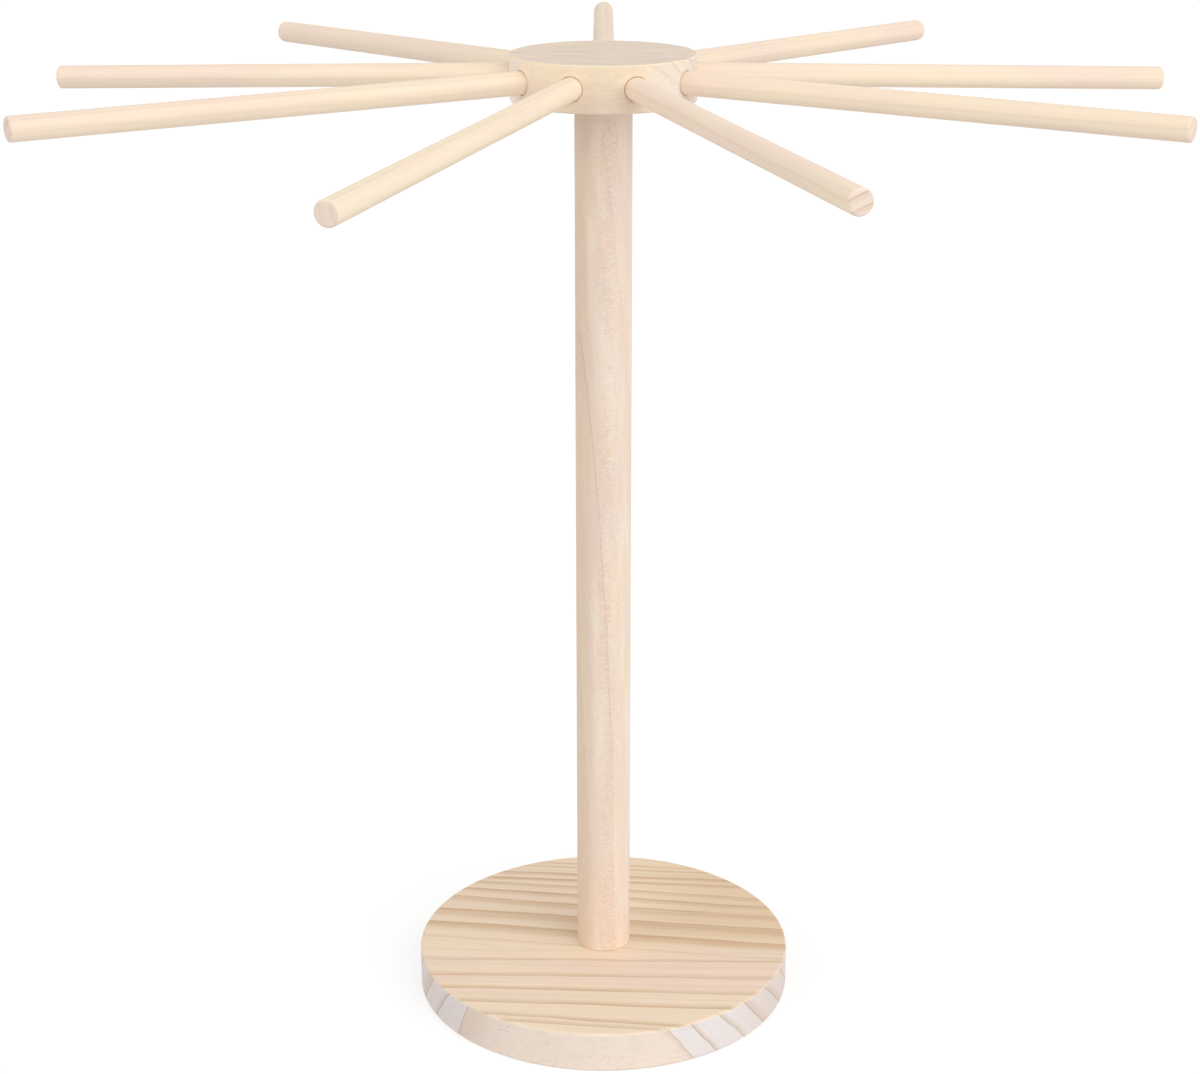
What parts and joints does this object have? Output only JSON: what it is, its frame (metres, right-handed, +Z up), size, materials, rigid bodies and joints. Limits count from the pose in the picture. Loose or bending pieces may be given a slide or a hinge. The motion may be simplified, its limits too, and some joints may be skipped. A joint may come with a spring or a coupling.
{
  "type": "pasta drying rack",
  "caption": "Free-standing wooden rack: a round base and column carry a round hub with nearly level rods radiating from it, over which long strips hang to dry.",
  "frame": {"origin": "centre of the base's underside, on the column's axis, on the surface that the rack stands on", "axes": "+Z up along the column; the front, midway between arm_1 and arm_9, faces -Y; +X is to the right seen from the front"},
  "size_m": [0.4893, 0.4842, 0.442],
  "materials": {
    "base_pine": "sanded bare pine, growth rings showing",
    "column_birch": "sanded bare birch, fine flecks",
    "hub_birch": "sanded bare birch, fine straight grain",
    "arm_birch": "sanded bare birch dowel",
    "zinc_steel": "bright zinc plating",
    "insert_brass": "machined"
  },
  "bodies": {
    "stand": {"base": "base_pine", "base_bolt": "zinc_steel", "base_washer": "zinc_steel", "column": "column_birch", "column_insert": "insert_brass", "hub_stud": "zinc_steel"},
    "hub_thread": {"hub_insert": "insert_brass"},
    "hub": {"hub": "hub_birch"},
    "arm_1": {"arm_1": "arm_birch"},
    "arm_2": {"arm_2": "arm_birch"},
    "arm_3": {"arm_3": "arm_birch"},
    "arm_4": {"arm_4": "arm_birch"},
    "arm_5": {"arm_5": "arm_birch"},
    "arm_6": {"arm_6": "arm_birch"},
    "arm_7": {"arm_7": "arm_birch"},
    "arm_8": {"arm_8": "arm_birch"},
    "arm_9": {"arm_9": "arm_birch"}
  },
  "joints": [
    {"name": "hub_climb", "type": "slide", "parent": "stand", "child": "hub_thread", "axis": [0, 0, 1], "range_m": [0, 0.012]},
    {"name": "hub_turn", "type": "hinge", "parent": "hub_thread", "child": "hub", "pos_m": [0, 0, 0.432], "axis": [0, 0, 1], "range_deg": [0, 4320]},
    {"name": "arm_1_pull", "type": "slide", "parent": "hub", "child": "arm_1", "axis": [0.3418, -0.9391, -0.0366], "range_m": [-0.00704, 0.01796]},
    {"name": "arm_2_pull", "type": "slide", "parent": "hub", "child": "arm_2", "axis": [0.866, -0.5, -0.007], "range_m": [-0.01144, 0.01356]},
    {"name": "arm_3_pull", "type": "slide", "parent": "hub", "child": "arm_3", "axis": [0.9843, 0.1736, -0.0332], "range_m": [-0.00704, 0.01796]},
    {"name": "arm_4_pull", "type": "slide", "parent": "hub", "child": "arm_4", "axis": [0.6427, 0.7659, -0.0192], "range_m": [0, 0.025]},
    {"name": "arm_5_pull", "type": "slide", "parent": "hub", "child": "arm_5", "axis": [0, 1, -0.007], "range_m": [0, 0.025]},
    {"name": "arm_6_pull", "type": "slide", "parent": "hub", "child": "arm_6", "axis": [-0.6426, 0.7658, -0.0244], "range_m": [-0.00418, 0.02082]},
    {"name": "arm_7_pull", "type": "slide", "parent": "hub", "child": "arm_7", "axis": [-0.9843, 0.1736, -0.0314], "range_m": [-0.00066, 0.02434]},
    {"name": "arm_8_pull", "type": "slide", "parent": "hub", "child": "arm_8", "axis": [-0.866, -0.5, -0.0052], "range_m": [-0.01386, 0.01114]},
    {"name": "arm_9_pull", "type": "slide", "parent": "hub", "child": "arm_9", "axis": [-0.3628, -0.9305, -0.0506], "range_m": [-0.0121, 0.0129]}
  ],
  "couplings": [
    {"joint": "hub_climb", "follows": "hub_turn", "m_per_rad": 0.00015915}
  ]
}
